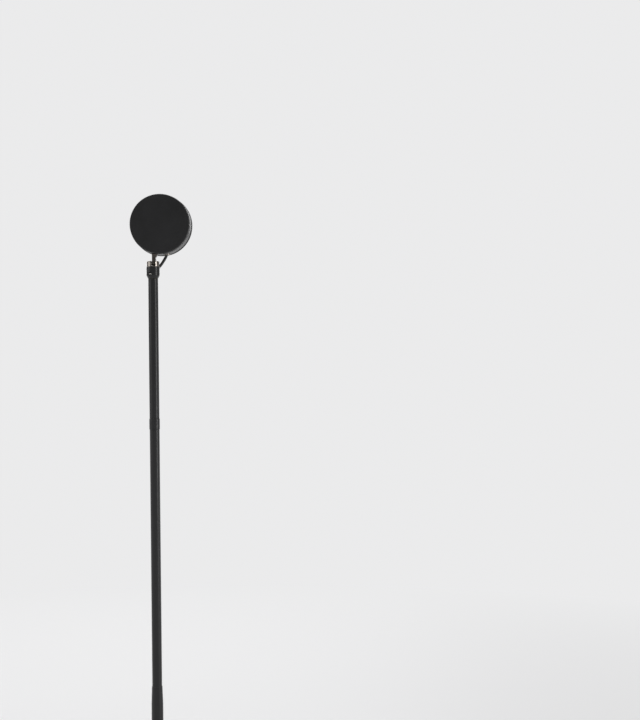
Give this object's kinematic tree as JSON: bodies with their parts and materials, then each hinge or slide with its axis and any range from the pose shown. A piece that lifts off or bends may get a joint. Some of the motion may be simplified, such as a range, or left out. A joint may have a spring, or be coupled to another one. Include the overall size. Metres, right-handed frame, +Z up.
{
  "type": "sunset projection lamp",
  "caption": "Free-standing projection lamp: a small drum head with a front lens tilts and turns on a slim black pole over a round weighted base.",
  "frame": {"origin": "on the floor, at the middle of the round base and on the pole's axis", "axes": "+Z up along the pole, +Y the way the beam goes at rest, +X to the right seen from behind the lamp"},
  "size_m": [0.13, 0.13, 0.6003],
  "materials": {
    "black_paint": "satin black",
    "bare_nickel": "brushed nickel",
    "steel": "turned steel",
    "plate_paint": "matte black",
    "dark_steel": "blackened",
    "iron": "as cast",
    "aluminium": "as turned",
    "white_board": "white solder mask",
    "brass": "turned",
    "lead_jacket": "soft black jacket",
    "rubber": "matte",
    "button_plastic": "fine matte",
    "switch_plastic": "moulded",
    "board": "green board",
    "washer_plastic": "white low-friction plastic",
    "phosphor": "yellow phosphor",
    "clear_glass": "polished",
    "sunset_glass": "orange and rose coated glass"
  },
  "bodies": {
    "stand": {"upper_pole": "black_paint", "lower_pole": "black_paint", "pole_coupling": "black_paint", "pole_ferrule": "black_paint", "base_cover": "black_paint", "bottom_screws": "steel", "board_screws": "steel", "pole_washer": "steel", "pole_nut": "steel", "inlet_socket": "steel", "button_spring": "steel", "bottom_plate": "plate_paint", "base_weight": "iron", "pole_spigot": "brass", "pole_lead": "lead_jacket", "foot_ring": "rubber", "switch_body": "switch_plastic", "lead_plug": "switch_plastic", "control_board": "board"},
    "swivel": {"swivel_collar": "black_paint", "set_screw": "steel", "hinge_fork": "bare_nickel", "hinge_screw": "steel", "friction_washers": "washer_plastic", "head_lead": "lead_jacket"},
    "head": {"tongue_bracket": "dark_steel", "bracket_screws": "steel", "drum_housing": "black_paint", "rear_cover": "black_paint", "heat_sink": "aluminium", "heat_sink_screws": "steel", "led_board": "white_board", "led_board_screws": "steel", "led_chip": "phosphor", "light_funnel": "aluminium", "condenser_lens": "clear_glass", "filter_holder": "aluminium", "colour_filter": "sunset_glass", "lens_barrel": "black_paint", "lens_gasket": "rubber", "front_lens": "clear_glass", "lens_ring": "black_paint", "front_bezel": "black_paint", "lead_gland": "bare_nickel", "gland_nut": "bare_nickel", "led_lead": "lead_jacket"},
    "button": {"push_button": "button_plastic", "switch_plunger": "switch_plastic"}
  },
  "joints": [
    {"name": "head_pan", "type": "hinge", "parent": "stand", "child": "swivel", "pos_m": [0, 0, 0.5156], "axis": [0, 0, 1], "range_deg": [-150, 150]},
    {"name": "head_tilt", "type": "hinge", "parent": "swivel", "child": "head", "pos_m": [0.001, 0, 0.5312], "axis": [1, 0, 0], "range_deg": [-90, 90], "deforming": ["head_lead"]},
    {"name": "button_press", "type": "slide", "parent": "stand", "child": "button", "axis": [0, 0, -1], "range_m": [0, 0.0015], "stiffness_N_per_m": 500, "springref_m": -0.001, "deforming": ["button_spring"]}
  ]
}
